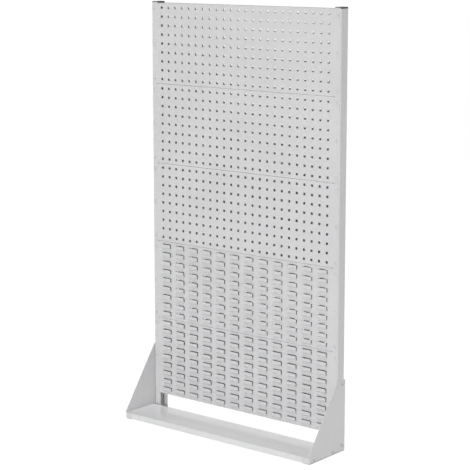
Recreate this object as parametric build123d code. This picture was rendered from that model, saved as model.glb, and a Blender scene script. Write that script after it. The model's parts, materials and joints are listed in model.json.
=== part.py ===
from build123d import *
import os

# Free-standing panel rack for tools and hanging goods. Two steel channels stand
# upright and carry a front skin of perforated and louvred panels and a rear skin
# of perforated panels. Two side brackets and a tray between them are the base.
# Millimetres. X runs along the rack, -Y is the front and +Z is up. The origin is
# on the floor, midway between the uprights, at the middle of the rack's depth.

# Rack
rack_width = 988.0
lowest_panel_edge = 79.5
perforated_front_panels = 3
louvred_front_panels = 2

# Panels
panel_height = 342.9
panel_gap = 0.4
panel_sheet = 1.5
panel_edge_inset = 3.0
panel_flange_depth = 12.0
panel_bend_radius = 0.5
flange_to_upright = 1.0
bend_relief_width = 2.0
bend_relief_depth = 4.0
pattern_margin = 5.0

# Square hook holes
hole_size = 10.0
hole_pitch = 38.0

# Louvres: tabs lanced out of the sheet, set forward and open at the top and ends
louvre_column_pitch = 76.0
louvre_row_pitch = 37.5
louvre_width = 47.0
louvre_height = 23.0
louvre_slot = 2.2
louvre_reach = 6.0
louvre_bend_height = 8.0
louvre_bend_radius = 1.5
louvre_corner_radius = 3.0
louvre_side_gap = 0.3
louvre_root = 3.0

# Uprights: channels that open towards each other
upright_width = 30.0
upright_depth = 48.0
upright_wall = 2.0
upright_bend_radius = 2.0
front_flange_above_web = 3.5

# Moulded caps in the tops of the uprights
cap_plate = 3.0
cap_plug_height = 12.0
plug_wall = 2.0
plug_clearance = 0.3
plug_edge_radius = 0.8

# Panel screws and tray bolts, M6, with low domed heads
m6_diameter = 6.0
m6_length = 12.0
m6_head_diameter = 14.0
m6_head_height = 2.4
m6_dome_radius = 1.8
m6_socket = 4.0
m6_socket_depth = 1.5
m6_hole = 7.0
m6_nut_flats = 10.0
m6_nut_height = 5.0
thread_clearance = 0.05
panel_screw_from_edge = 13.5
panel_screw_from_end = 24.0
panel_screw_rows = 3

# Bracket bolts, M8, each with a washer
m8_diameter = 8.0
m8_length = 16.0
m8_head_diameter = 14.0
m8_head_height = 4.4
m8_dome_radius = 3.2
m8_socket = 5.0
m8_socket_depth = 2.6
m8_hole = 9.0
m8_nut_flats = 13.0
m8_nut_height = 6.5
washer_diameter = 16.0
washer_thickness = 1.6
washer_clearance = 0.2
bracket_bolt_from_floor = 27.0
bracket_bolt_from_top = 16.0

# Side brackets
bracket_sheet = 2.5
bracket_height = 301.0
bracket_reach = 190.0
bracket_behind_panels = 3.0
bracket_above_tray = 4.0
bracket_foot_radius = 5.0
bracket_bend_radius = 3.0
bracket_front_flange = 30.0

# Tray
tray_sheet = 1.5
tray_top = 27.0
tray_above_floor = 4.0
tray_to_panels = 10.0
tray_bend_radius = 2.5
tray_clearance = 0.5
tray_bolt_height = 11.0
tray_bolt_from_front = 31.0
tray_bolt_from_rear = 20.0

# Across the rack
half_width = rack_width / 2
upright_inner = half_width - upright_width
upright_corner = upright_bend_radius + upright_wall
screw_x = half_width - panel_screw_from_edge
bracket_outer = half_width + bracket_sheet
bracket_corner = bracket_bend_radius + bracket_sheet
panel_half_width = half_width - panel_edge_inset
flange_half_length = upright_inner - flange_to_upright
flange_end = half_width - upright_corner

# Through its depth, from the base's front edge to its rear edge
base_depth = bracket_reach + 2 * panel_sheet + upright_depth + bracket_behind_panels
base_front = -base_depth / 2
base_rear = base_depth / 2
panel_front = base_front + bracket_reach
upright_front = panel_front + panel_sheet
upright_rear = upright_front + upright_depth
upright_middle = upright_front + upright_depth / 2
tray_rear = panel_front - tray_to_panels

# Up the rack
panel_count = perforated_front_panels + louvred_front_panels
panel_step = panel_height + panel_gap
panel_top = lowest_panel_edge + panel_count * panel_step - panel_gap
web_top = panel_top
front_flange_top = web_top + front_flange_above_web
cap_top = front_flange_top + cap_plate


def spread(count, pitch):
    """Places of a row of things, centred on zero."""
    return [(index - (count - 1) / 2) * pitch for index in range(count)]


def fitting(length, size, pitch):
    """How many things of one size fit in a length at a pitch, clear of its ends."""
    return int((length - size - 2 * pattern_margin) // pitch) + 1


panel_screw_pitch = (panel_height - 2 * panel_screw_from_end) / (panel_screw_rows - 1)
panel_screw_heights = spread(panel_screw_rows, panel_screw_pitch)
panel_centres = [panel_top - panel_height / 2 - index * panel_step for index in range(panel_count)]
screw_heights = [centre + height for centre in panel_centres for height in panel_screw_heights]
bracket_bolt_heights = [bracket_bolt_from_floor, bracket_height - bracket_bolt_from_top]
tray_bolt_places = [base_front + tray_bolt_from_front, tray_rear - tray_bolt_from_rear]


# Shapes and moves

def box_between(low, high):
    size = [b - a for a, b in zip(low, high)]
    middle = [(a + b) / 2 for a, b in zip(low, high)]
    return Pos(*middle) * Box(*size)


def folded(skin, sheet, inner_radius):
    """Section of a folded sheet. The points run along its outer skin, with the metal on their left."""
    line = FilletPolyline(*skin, radius=inner_radius + sheet)
    return make_face(offset(line, sheet, side=Side.LEFT, closed=True))


def along_x(section, start, end):
    """Solid of a section drawn in Y and Z."""
    return extrude(Plane.YZ.offset(start) * section, end - start)


def along_y(section, start, end):
    """Solid of a section drawn in X and Z."""
    return extrude(Plane.XZ.offset(-end) * section, end - start)


def along_z(section, start, end):
    """Solid of a section drawn in X and Y."""
    return extrude(Plane.XY.offset(start) * section, end - start)


def other_side(shape):
    return mirror(shape, about=Plane.YZ)


def turned_to_rear(shape):
    """The same thing on the rack's other face, turned about the middle of the uprights."""
    return Pos(0, 2 * upright_middle, 0) * Rot(Z=180) * shape


def facing_front(shape):
    return Rot(X=90) * shape


def facing_right(shape):
    return Rot(Y=90) * shape


def write(node, *solids):
    os.makedirs("parts", exist_ok=True)
    part = Compound(list(solids)) if len(solids) > 1 else solids[0]
    part.label = node
    export_step(part, "parts/" + node + ".step")


# Fasteners, with the face that they clamp at Z = 0 and their heads above it

def screw(diameter, length, head_diameter, head_height, dome_radius, socket, socket_depth):
    head = along_z(Circle(head_diameter / 2), 0, head_height)
    head = fillet(head.edges().sort_by(Axis.Z)[-1], dome_radius)
    recess = RegularPolygon(socket / 2, 6, major_radius=False)
    head -= along_z(recess, head_height - socket_depth, head_height)
    return head + along_z(Circle(diameter / 2), -length, 0)


def m6_screw():
    return screw(m6_diameter, m6_length, m6_head_diameter, m6_head_height, m6_dome_radius,
                 m6_socket, m6_socket_depth)


def m8_bolt():
    return screw(m8_diameter, m8_length, m8_head_diameter, m8_head_height, m8_dome_radius,
                 m8_socket, m8_socket_depth)


def nut(flats, height, thread):
    """Hexagon nut that hangs below Z = 0."""
    section = RegularPolygon(flats / 2, 6, major_radius=False) - Circle(thread / 2 + thread_clearance)
    return along_z(section, -height, 0)


def m6_nut():
    return nut(m6_nut_flats, m6_nut_height, m6_diameter)


def m8_nut():
    return nut(m8_nut_flats, m8_nut_height, m8_diameter)


def washer():
    ring = Circle(washer_diameter / 2) - Circle(m8_diameter / 2 + washer_clearance)
    return along_z(ring, 0, washer_thickness)


# Panels, each made about its own middle, with its outer face at Y = 0

def panel_blank():
    """Sheet with a return flange at its top and bottom that stops short of the uprights."""
    half_height = panel_height / 2
    skin = [
        (panel_flange_depth, half_height),
        (0, half_height),
        (0, -half_height),
        (panel_flange_depth, -half_height),
    ]
    blank = along_x(folded(skin, panel_sheet, panel_bend_radius), -flange_half_length, flange_half_length)
    relief_end = flange_half_length + bend_relief_width
    relief_top = half_height - bend_relief_depth
    neck = box_between((flange_half_length, 0, -relief_top), (relief_end, panel_sheet, relief_top))
    edge = box_between((relief_end, 0, -half_height), (panel_half_width, panel_sheet, half_height))
    blank += [neck, edge, other_side(neck), other_side(edge)]
    holes = Circle(m6_hole / 2)
    places = Locations(*[(side * screw_x, height) for side in (-1, 1) for height in panel_screw_heights])
    return blank - along_y(Sketch() + [place * holes for place in places], 0, panel_sheet)


def perforated_panel():
    columns = fitting(2 * flange_half_length, hole_size, hole_pitch)
    rows = fitting(panel_height, hole_size, hole_pitch)
    places = GridLocations(hole_pitch, hole_pitch, columns, rows)
    holes = Sketch() + [place * Rectangle(hole_size, hole_size) for place in places]
    return panel_blank() - along_y(holes, 0, panel_sheet)


def louvre_tab():
    """One tab with the foot of its bend at Z = 0, where it grows out of the sheet."""
    skin = [
        (-louvre_reach, louvre_height - louvre_slot),
        (-louvre_reach, louvre_bend_height),
        (0, 0),
        (0, -louvre_root),
    ]
    half_tab = louvre_width / 2 - louvre_side_gap
    tab = along_x(folded(skin, panel_sheet, louvre_bend_radius), -half_tab, half_tab)
    corners = tab.edges().filter_by(Axis.Y).group_by(Axis.Z)[-1]
    return fillet(corners, louvre_corner_radius)


def louvre_window():
    """Opening behind one tab, rounded at the top a little more than the tab."""
    window = Pos(0, louvre_height / 2) * Rectangle(louvre_width, louvre_height)
    return fillet(window.vertices().group_by(Axis.Y)[-1], louvre_corner_radius + louvre_side_gap)


def louvred_panel():
    columns = fitting(2 * flange_half_length, louvre_width, louvre_column_pitch)
    rows = fitting(panel_height, louvre_height, louvre_row_pitch)
    places = GridLocations(louvre_column_pitch, louvre_row_pitch, columns, rows)
    foot = -louvre_height / 2
    window = Pos(0, foot) * louvre_window()
    windows = Sketch() + [place * window for place in places]
    tab = louvre_tab()
    tabs = [Pos(place.position.X, 0, place.position.Y + foot) * tab for place in places]
    return panel_blank() - along_y(windows, 0, panel_sheet) + tabs


# Uprights and their caps, made for the right side

def upright():
    skin = [
        (upright_inner, upright_front),
        (half_width, upright_front),
        (half_width, upright_rear),
        (upright_inner, upright_rear),
    ]
    channel = along_z(folded(skin, upright_wall, upright_bend_radius), 0, front_flange_top)
    # Only the flat of the front flange stands above the web, to back the cap's front edge.
    flange_back = upright_front + upright_wall
    channel -= box_between((upright_inner, flange_back, web_top), (half_width, upright_rear, front_flange_top))
    channel -= box_between((flange_end, upright_front, web_top), (half_width, flange_back, front_flange_top))
    screw_holes = Sketch() + [Pos(screw_x, height) * Circle(m6_hole / 2) for height in screw_heights]
    channel -= along_y(screw_holes, upright_front, upright_rear)
    return channel - bracket_bolt_holes(half_width - upright_wall, half_width)


def bracket_bolt_holes(start, end):
    holes = [Pos(upright_middle, height) * Circle(m8_hole / 2) for height in bracket_bolt_heights]
    return along_x(Sketch() + holes, start, end)


def upright_outline():
    """Plan of the upright's outside, with round corners at its web."""
    middle = half_width - upright_width / 2
    outline = Pos(middle, upright_middle) * Rectangle(upright_width, upright_depth)
    return fillet(outline.vertices().group_by(Axis.X)[-1], upright_corner)


def plug_outline(inset):
    """Plan of the space inside the upright, drawn in by an inset."""
    across = upright_width - upright_wall - 2 * inset
    through = upright_depth - 2 * (upright_wall + inset)
    middle = upright_inner + inset + across / 2
    outline = Pos(middle, upright_middle) * Rectangle(across, through)
    return fillet(outline.vertices().group_by(Axis.X)[-1], upright_bend_radius)


def top_cap():
    plate = along_z(upright_outline(), web_top, cap_top)
    plate = fillet(plate.edges().group_by(Axis.Z)[-1], plug_edge_radius)
    rebate_back = upright_front + upright_wall + plug_clearance
    plate -= box_between(
        (upright_inner, upright_front, web_top),
        (flange_end + plug_clearance, rebate_back, front_flange_top),
    )
    plug = plug_outline(plug_clearance) - plug_outline(plug_clearance + plug_wall)
    return plate + along_z(plug, web_top - cap_plug_height, web_top)


# Base, made for the right side

def side_bracket():
    """Gusset plate outside the upright, with a flange folded in across its front."""
    slant_foot = tray_top + bracket_above_tray
    outline = Polyline(
        (base_front, 0),
        (base_rear, 0),
        (base_rear, bracket_height),
        (panel_front, bracket_height),
        (base_front, slant_foot),
        close=True,
    )
    side_view = make_face(outline)
    front_foot = side_view.vertices().group_by(Axis.X)[0].sort_by(Axis.Y)[0]
    side_view = fillet(front_foot, bracket_foot_radius)
    plate = along_x(side_view, half_width, bracket_outer)
    plate -= bracket_bolt_holes(half_width, bracket_outer)
    plate -= tray_bolt_holes(half_width, bracket_outer)
    fold_end = base_front + bracket_corner
    plate -= box_between((half_width, base_front, 0), (bracket_outer, fold_end, tray_top))
    skin = [
        (half_width - bracket_front_flange, base_front),
        (bracket_outer, base_front),
        (bracket_outer, fold_end + bracket_corner),
    ]
    fold = along_z(folded(skin, bracket_sheet, bracket_bend_radius), 0, tray_top)
    fold &= along_x(side_view, half_width - bracket_front_flange, bracket_outer)
    return plate + fold


def tray_bolt_holes(start, end):
    holes = [Pos(place, tray_bolt_height) * Circle(m6_hole / 2) for place in tray_bolt_places]
    return along_x(Sketch() + holes, start, end)


def tray():
    """Shelf folded down on all four sides. Its front lip fills the space between the bracket flanges."""
    corner = tray_bend_radius + tray_sheet
    lip_half_width = half_width - bracket_front_flange - tray_clearance
    behind_flange = base_front + bracket_sheet + tray_clearance
    end_start = half_width - corner
    rear_start = tray_rear - corner

    front_skin = [
        (rear_start, tray_top),
        (base_front, tray_top),
        (base_front, tray_above_floor),
    ]
    front = along_x(folded(front_skin, tray_sheet, tray_bend_radius), -lip_half_width, lip_half_width)
    rear_skin = [
        (tray_rear, tray_above_floor),
        (tray_rear, tray_top),
        (behind_flange, tray_top),
    ]
    rear = along_x(folded(rear_skin, tray_sheet, tray_bend_radius), -end_start, end_start)
    end_skin = [
        (half_width, tray_above_floor),
        (half_width, tray_top),
        (lip_half_width, tray_top),
    ]
    end = along_y(folded(end_skin, tray_sheet, tray_bend_radius), behind_flange, rear_start)
    end -= tray_bolt_holes(half_width - tray_sheet, half_width)
    # The corner is cut away to clear the inside of the bracket's bend.
    bend_start = half_width - bracket_bend_radius - tray_clearance
    bend_end = base_front + bracket_corner + tray_clearance
    end -= box_between((bend_start, base_front, 0), (half_width, bend_end, tray_top))
    return front + rear + end + other_side(end)


# Every piece in its place

perforated = perforated_panel()
louvred = louvred_panel()
for index, centre in enumerate(panel_centres):
    row = index + 1
    if row <= perforated_front_panels:
        write(f"perforated_panel_front_{row}", Pos(0, panel_front, centre) * perforated)
    else:
        write(f"louvred_panel_front_{row}", Pos(0, panel_front, centre) * louvred)
    write(f"perforated_panel_rear_{row}", turned_to_rear(Pos(0, panel_front, centre) * perforated))

right_side = {
    "upright": [upright()],
    "top_cap": [top_cap()],
    "side_bracket": [side_bracket()],
}

front_screw = facing_front(m6_screw())
front_nut = facing_front(m6_nut())
inside_front = upright_front + upright_wall
front_screws = [Pos(screw_x, panel_front, height) * front_screw for height in screw_heights]
front_nuts = [Pos(screw_x, inside_front, height) * front_nut for height in screw_heights]
right_side["panel_screws_front"] = front_screws
right_side["weld_nuts_front"] = front_nuts

washer_face = bracket_outer + washer_thickness
web_inside = half_width - upright_wall
bolt_places = [(upright_middle, height) for height in bracket_bolt_heights]
right_side["bracket_washers"] = [Pos(bracket_outer, *place) * facing_right(washer()) for place in bolt_places]
right_side["bracket_bolts"] = [Pos(washer_face, *place) * facing_right(m8_bolt()) for place in bolt_places]
right_side["bracket_nuts"] = [Pos(web_inside, *place) * facing_right(m8_nut()) for place in bolt_places]

tray_inside = half_width - tray_sheet
bolt_places = [(place, tray_bolt_height) for place in tray_bolt_places]
right_side["tray_bolts"] = [Pos(bracket_outer, *place) * facing_right(m6_screw()) for place in bolt_places]
right_side["tray_nuts"] = [Pos(tray_inside, *place) * facing_right(m6_nut()) for place in bolt_places]

for name, solids in right_side.items():
    write(f"{name}_right", *solids)
    write(f"{name}_left", *[other_side(solid) for solid in solids])

# The rear screws and nuts are the front ones turned about, so each side's rear set
# comes from the opposite front set.
for name, solids in (("panel_screws_rear", front_screws), ("weld_nuts_rear", front_nuts)):
    write(f"{name}_left", *[turned_to_rear(solid) for solid in solids])
    write(f"{name}_right", *[other_side(turned_to_rear(solid)) for solid in solids])

write("base_tray", tray())
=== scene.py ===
import json
import math

import bpy
from mathutils import Euler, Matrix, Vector


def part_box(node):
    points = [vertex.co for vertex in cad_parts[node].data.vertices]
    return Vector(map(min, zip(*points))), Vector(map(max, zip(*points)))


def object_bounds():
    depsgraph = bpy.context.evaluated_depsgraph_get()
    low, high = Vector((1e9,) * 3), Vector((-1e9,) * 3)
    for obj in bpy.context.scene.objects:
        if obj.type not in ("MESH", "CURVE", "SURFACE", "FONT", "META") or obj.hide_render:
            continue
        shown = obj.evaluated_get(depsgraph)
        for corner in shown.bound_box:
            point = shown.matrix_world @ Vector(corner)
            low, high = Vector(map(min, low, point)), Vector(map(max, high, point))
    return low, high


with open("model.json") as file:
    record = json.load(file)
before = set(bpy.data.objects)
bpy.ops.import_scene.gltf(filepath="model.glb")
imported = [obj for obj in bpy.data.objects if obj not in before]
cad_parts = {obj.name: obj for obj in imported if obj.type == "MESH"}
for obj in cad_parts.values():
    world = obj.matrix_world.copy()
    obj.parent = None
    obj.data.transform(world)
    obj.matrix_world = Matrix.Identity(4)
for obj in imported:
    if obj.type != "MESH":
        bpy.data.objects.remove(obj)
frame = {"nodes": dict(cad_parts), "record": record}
cad_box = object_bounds()
MM = 0.001
upright_low, upright_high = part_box("upright_right")
hollow_middle = (upright_low[1] + upright_high[1]) / 2
tray_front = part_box("base_tray")[0][1]


# ---------------------------------------------------------------- materials

def linear(hex_colour):
    """Linear RGBA of an sRGB hex colour such as "#D6D6D7"."""
    values = [int(hex_colour[i:i + 2], 16) / 255 for i in (1, 3, 5)]
    return [v / 12.92 if v <= 0.04045 else ((v + 0.055) / 1.055) ** 2.4 for v in values] + [1.0]


def add(tree, kind, settings=None, values=None, links=None):
    """Adds a node with its settings, the values of its inputs and the links into them."""
    node = tree.nodes.new(kind)
    for key, value in (settings or {}).items():
        setattr(node, key, value)
    for key, value in (values or {}).items():
        node.inputs[key].default_value = value
    for key, (source, socket) in (links or {}).items():
        tree.links.new(source.outputs[socket], node.inputs[key])
    return node


def new_material(name):
    """A material with a Principled shader and an output alone in its tree."""
    material = bpy.data.materials.new(name)
    material.use_nodes = True
    tree = material.node_tree
    tree.nodes.clear()
    shader = add(tree, "ShaderNodeBsdfPrincipled")
    add(tree, "ShaderNodeOutputMaterial", links={"Surface": (shader, "BSDF")})
    return material, tree, shader


def ramp(tree, source, socket, stops):
    """A colour ramp between two stops of (place, hex colour)."""
    node = add(tree, "ShaderNodeValToRGB", links={"Fac": (source, socket)})
    for element, (place, colour) in zip(node.color_ramp.elements, stops):
        element.position = place
        element.color = linear(colour)
    return node


def edge_wear(tree, radius_mm):
    """Rounds the look of every edge, and returns the rounding and a mask of where the edges are."""
    rounding = add(tree, "ShaderNodeBevel", {"samples": 4}, {"Radius": radius_mm * MM})
    surface = add(tree, "ShaderNodeNewGeometry")
    alike = add(tree, "ShaderNodeVectorMath", {"operation": "DOT_PRODUCT"},
                links={0: (rounding, "Normal"), 1: (surface, "Normal")})
    edge = add(tree, "ShaderNodeMapRange", values={"From Min": 0.995, "From Max": 0.9},
               links={"Value": (alike, "Value")})
    return rounding, edge


def hollow_shade_mask(tree, place):
    """One on the faces that look into the hollow between the front and rear panels, where painted shade
    goes.
    """
    least = 1 * MM  # how far the middle must lie in front of such a face
    surface = add(tree, "ShaderNodeNewGeometry")
    inward = add(tree, "ShaderNodeVectorMath", {"operation": "SUBTRACT"}, {0: (0, hollow_middle, 0)},
                 {1: (place, "Object")})
    facing = add(tree, "ShaderNodeVectorMath", {"operation": "MULTIPLY"},
                 links={0: (inward, "Vector"), 1: (surface, "True Normal")})
    parts = add(tree, "ShaderNodeSeparateXYZ", links={"Vector": (facing, "Vector")})
    along = add(tree, "ShaderNodeMath", {"operation": "MAXIMUM"}, links={0: (parts, "X"), 1: (parts, "Y")})
    return add(tree, "ShaderNodeMath", {"operation": "GREATER_THAN"}, {1: least}, {0: (along, "Value")})


def powder_coat(name, light, dark, roughness, peel_mm=2.2, peel_height_mm=0.05,
                hollow=False, shaded_front_edge=False):
    """Polyester powder coat on steel sheet, sprayed and baked. It is even and satin, with the
    faint orange peel of melted powder, slow changes of tone over a hand's width, and gloss
    that varies with its thickness. On edges it pulls back to a thinner, shinier and slightly
    darker film. Painted contact shade darkens it towards the floor. On request, painted shade
    darkens the faces inside the hollow between the panels, and the strip behind a tray's front edge."""
    material, tree, shader = new_material(name)
    place = add(tree, "ShaderNodeTexCoord")
    # Tone drifts by a shade over about 250 mm, as film thickness does.
    drift = add(tree, "ShaderNodeTexNoise", values={"Scale": 1 / (250 * MM), "Detail": 3.0},
                links={"Vector": (place, "Object")})
    tone = ramp(tree, drift, "Fac", [(0.3, dark), (0.7, light)])
    # Pigment grains are far finer than a millimetre, so they are drawn at 1.5 mm to show up close.
    grain = add(tree, "ShaderNodeTexNoise", values={"Scale": 1 / (1.5 * MM), "Detail": 2.0},
                links={"Vector": (place, "Object")})
    speckle = ramp(tree, grain, "Fac", [(0.35, "#F4F4F4"), (0.65, "#FFFFFF")])
    colour = add(tree, "ShaderNodeMix", {"data_type": "RGBA", "blend_type": "MULTIPLY"}, {"Factor": 1.0},
                 {"A": (tone, "Color"), "B": (speckle, "Color")})

    # Edges wear in patches about 12 mm long.
    rounding, edge = edge_wear(tree, radius_mm=0.5)
    rubs = add(tree, "ShaderNodeTexNoise", values={"Scale": 1 / (12 * MM), "Detail": 5.0},
               links={"Vector": (place, "Object")})
    rubbed = add(tree, "ShaderNodeMapRange", links={"Value": (rubs, "Fac")},
                 values={"From Min": 0.4, "From Max": 0.7, "To Min": 0.15, "To Max": 0.6})
    worn = add(tree, "ShaderNodeMath", {"operation": "MULTIPLY"},
               links={0: (edge, "Result"), 1: (rubbed, "Result")})
    # Painted contact shade: darker towards the floor, fading out about 6 mm above it.
    parts = add(tree, "ShaderNodeSeparateXYZ", links={"Vector": (place, "Object")})
    floor_shade = add(tree, "ShaderNodeMapRange", links={"Value": (parts, "Z")},
                  values={"From Min": 6 * MM, "From Max": 1 * MM, "To Max": 0.55})
    # The first mark is edge wear, the second the painted contact shade along the floor.
    wear_and_shade_marks = [("#A2A3A5", worn, "Value"), ("#96979A", floor_shade, "Result")]
    if hollow:
        # Painted shade: the faces inside the hollow are painted darker.
        wear_and_shade_marks.append(("#B4B5B7", hollow_shade_mask(tree, place), "Value"))
    if shaded_front_edge:
        # Painted shade along the tray's front: darkest at the front edge, and none 110 mm behind it.
        front_shade = add(tree, "ShaderNodeMapRange", links={"Value": (parts, "Y")},
                      values={"From Min": tray_front + 110 * MM, "From Max": tray_front + 10 * MM})
        wear_and_shade_marks.append(("#DCDCDD", front_shade, "Result"))
    for mark, mask, socket in wear_and_shade_marks:
        colour = add(tree, "ShaderNodeMix", {"data_type": "RGBA"}, {"B": linear(mark)},
                     {"Factor": (mask, socket), "A": (colour, "Result")})
    tree.links.new(colour.outputs["Result"], shader.inputs["Base Color"])

    # Gloss varies in soft patches about 60 mm across, and worn edges are polished.
    bloom = add(tree, "ShaderNodeTexNoise", values={"Scale": 1 / (60 * MM), "Detail": 4.0},
                links={"Vector": (place, "Object")})
    gloss = add(tree, "ShaderNodeMapRange", values={"To Min": roughness - 0.05, "To Max": roughness + 0.05},
                links={"Value": (bloom, "Fac")})
    polish = add(tree, "ShaderNodeMath", {"operation": "MULTIPLY_ADD"}, {1: -0.15},
                 {0: (worn, "Value"), 2: (gloss, "Result")})
    tree.links.new(polish.outputs["Value"], shader.inputs["Roughness"])
    # Orange peel: shallow rounded dimples, peel_mm across.
    peel = add(tree, "ShaderNodeTexNoise", values={"Scale": 1 / (peel_mm * MM), "Detail": 1.0},
               links={"Vector": (place, "Object")})
    bump = add(tree, "ShaderNodeBump", values={"Strength": 0.35, "Distance": peel_height_mm * MM},
               links={"Height": (peel, "Fac"), "Normal": (rounding, "Normal")})
    tree.links.new(bump.outputs["Normal"], shader.inputs["Normal"])
    shader.inputs["IOR"].default_value = 1.5
    return material


def moulded_plastic(name):
    """Injection-moulded polypropylene with a spark-eroded grain: near black and dull."""
    material, tree, shader = new_material(name)
    place = add(tree, "ShaderNodeTexCoord")
    # The eroded grain is finer than 0.1 mm, so it is drawn at 0.8 mm to show up close.
    grain = add(tree, "ShaderNodeTexNoise", values={"Scale": 1 / (0.8 * MM), "Detail": 3.0},
                links={"Vector": (place, "Object")})
    colour = ramp(tree, grain, "Fac", [(0.3, "#333335"), (0.7, "#3F3F41")])
    tree.links.new(colour.outputs["Color"], shader.inputs["Base Color"])
    gloss = add(tree, "ShaderNodeMapRange", values={"To Min": 0.42, "To Max": 0.6},
                links={"Value": (grain, "Fac")})
    tree.links.new(gloss.outputs["Result"], shader.inputs["Roughness"])
    bump = add(tree, "ShaderNodeBump", values={"Strength": 0.4, "Distance": 0.06 * MM},
               links={"Height": (grain, "Fac")})
    tree.links.new(bump.outputs["Normal"], shader.inputs["Normal"])
    shader.inputs["IOR"].default_value = 1.49
    return material


def zinc_plate(name):
    """Bright zinc plate on cold-headed steel: a cool metal whose tone and gloss are cloudy."""
    material, tree, shader = new_material(name)
    place = add(tree, "ShaderNodeTexCoord")
    # The clouds are about 3 mm across.
    cloud = add(tree, "ShaderNodeTexNoise", values={"Scale": 1 / (3 * MM), "Detail": 4.0},
                links={"Vector": (place, "Object")})
    colour = ramp(tree, cloud, "Fac", [(0.3, "#A9ACB2"), (0.7, "#C3C6CB")])
    tree.links.new(colour.outputs["Color"], shader.inputs["Base Color"])
    gloss = add(tree, "ShaderNodeMapRange", values={"To Min": 0.25, "To Max": 0.42},
                links={"Value": (cloud, "Fac")})
    tree.links.new(gloss.outputs["Result"], shader.inputs["Roughness"])
    shader.inputs["Metallic"].default_value = 1.0
    return material


finishes = {
    "panel_coating": powder_coat("powder_coat_panels", "#D8D8D9", "#D3D3D4", 0.5, hollow=True),
    "upright_coating": powder_coat("powder_coat_uprights", "#D9D9DA", "#D4D4D5", 0.5),
    "bracket_coating": powder_coat("powder_coat_brackets", "#DADADB", "#D5D5D6", 0.42),
    "tray_coating": powder_coat("powder_coat_tray_satin", "#EEEEEF", "#EAEAEB", 0.16,
                                peel_mm=3.0, peel_height_mm=0.02, shaded_front_edge=True),
    "screw_coating": powder_coat("powder_coat_screws", "#D4D4D5", "#CFCFD0", 0.45),
    "bolt_coating": powder_coat("powder_coat_bolts", "#CACACB", "#C5C5C6", 0.55),
    "zinc_steel": zinc_plate("zinc_plated_steel"),
    "black_plastic": moulded_plastic("moulded_black_polypropylene"),
}

for part in frame["record"]["subparts"]:
    node = frame["nodes"][part["node"]]
    node.data.materials.clear()
    node.data.materials.append(finishes[part["material_slot"]])


# ---------------------------------------------------------------- stage, light and camera

def seen_from_lens(tree):
    """One for rays from the lens, whether they come straight, off a shiny face or through glass."""
    path = add(tree, "ShaderNodeLightPath")
    seen = add(tree, "ShaderNodeMath", {"operation": "MAXIMUM"},
               links={0: (path, "Is Camera Ray"), 1: (path, "Is Glossy Ray")})
    return add(tree, "ShaderNodeMath", {"operation": "MAXIMUM"},
               links={0: (seen, "Value"), 1: (path, "Is Transmission Ray")})


def white_floor():
    """Matt white paper that the lens sees as white, apart from a share that takes the shadow."""
    shadow_share = 0.12
    material = bpy.data.materials.new("white_floor")
    material.use_nodes = True
    tree = material.node_tree
    tree.nodes.clear()
    matt = add(tree, "ShaderNodeBsdfDiffuse", values={"Color": linear("#F2F2F2")})
    # A little over one, because the matt share is dim where the lamps don't reach.
    glow = add(tree, "ShaderNodeEmission", values={"Color": (1, 1, 1, 1), "Strength": 1.08})
    share = add(tree, "ShaderNodeMath", {"operation": "MULTIPLY"}, {1: 1 - shadow_share},
                {0: (seen_from_lens(tree), "Value")})
    mixed = add(tree, "ShaderNodeMixShader",
                links={"Fac": (share, "Value"), 1: (matt, "BSDF"), 2: (glow, "Emission")})
    add(tree, "ShaderNodeOutputMaterial", links={"Surface": (mixed, "Shader")})
    return material


def studio_floor():
    """A floor that is wide enough for the rack's shadow. The world past it is as white."""
    bpy.ops.mesh.primitive_plane_add(size=16, location=(0, 0, 0))
    floor = bpy.context.object
    floor.name = "studio_floor"
    floor.data.materials.append(white_floor())


def studio_world(strength):
    """Even white surroundings: a plain level for lighting, and paper white where they are seen."""
    world = bpy.data.worlds.new("white_studio")
    bpy.context.scene.world = world
    world.use_nodes = True
    tree = world.node_tree
    tree.nodes.clear()
    level = add(tree, "ShaderNodeMapRange", values={"To Min": strength, "To Max": 1.0},
                links={"Value": (seen_from_lens(tree), "Value")})
    glow = add(tree, "ShaderNodeBackground", values={"Color": (1, 1, 1, 1)},
               links={"Strength": (level, "Result")})
    add(tree, "ShaderNodeOutputWorld", links={"Surface": (glow, "Background")})


def softbox(name, azimuth, elevation, power):
    """A square lamp that faces the rack's middle. Azimuth 0 is the front and 90 the right."""
    width, distance = 3.0, 12.0  # metres
    highest_unmirrored = 20  # degrees
    light = bpy.data.lights.new(name, "AREA")
    light.size = width
    light.energy = power
    lamp = bpy.data.objects.new(name, light)
    turn = Euler((math.radians(90 - elevation), 0, math.radians(azimuth)))
    lamp.rotation_euler = turn
    lamp.location = (cad_box[0] + cad_box[1]) / 2 + turn.to_matrix() @ Vector((0, 0, distance))
    # A low lamp's mirror image would bleach the satin tray for anyone looking along the rack.
    lamp.visible_glossy = elevation > highest_unmirrored
    bpy.context.scene.collection.objects.link(lamp)


def camera():
    """Above the rack, in front of it and to its right, turned down to the rack's middle."""
    turned_down, turned_left = 9.788, 39.075  # degrees
    lens = bpy.data.cameras.new("camera")
    lens.lens = 120.14
    lens.sensor_width = 36
    lens.shift_y = -0.05
    eye = bpy.data.objects.new("camera", lens)
    eye.location = (4.034, -4.945, 2.055)
    eye.rotation_euler = (math.radians(90 - turned_down), 0, math.radians(turned_left))
    bpy.context.scene.collection.objects.link(eye)
    bpy.context.scene.camera = eye


bpy.ops.object.select_all(action="DESELECT")
studio_floor()
studio_world(0.2)
softbox("front_softbox", 20, 8, 720)
softbox("right_softbox", 95, 15, 190)
softbox("left_softbox", -95, 15, 194)
softbox("rear_softbox", 180, 35, 532)
softbox("top_softbox", 0, 75, 507)
camera()
bpy.context.scene.view_settings.view_transform = "Standard"
